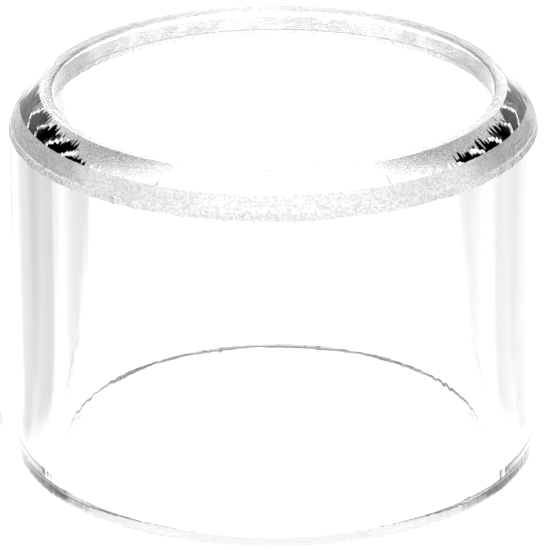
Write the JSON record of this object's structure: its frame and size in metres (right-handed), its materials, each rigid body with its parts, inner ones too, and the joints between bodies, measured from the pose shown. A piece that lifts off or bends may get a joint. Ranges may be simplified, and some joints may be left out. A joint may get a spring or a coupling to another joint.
{
  "type": "guitar slide",
  "caption": "Short ring-shaped finger slide of clear thick-walled glass, open at both ends, with a ground shoulder round the outside of its upper rim.",
  "frame": {"origin": "middle of the flat lower end, on the surface that the ring stands on", "axes": "+Z along the bore, from the square-cut lower end to the rim with the ground shoulder"},
  "size_m": [0.024, 0.024, 0.0174],
  "materials": {
    "clear_glass": "clear and polished, with a fine-ground band round its shoulder"
  },
  "bodies": {
    "root": {"glass_tube": "clear_glass"}
  },
  "joints": []
}
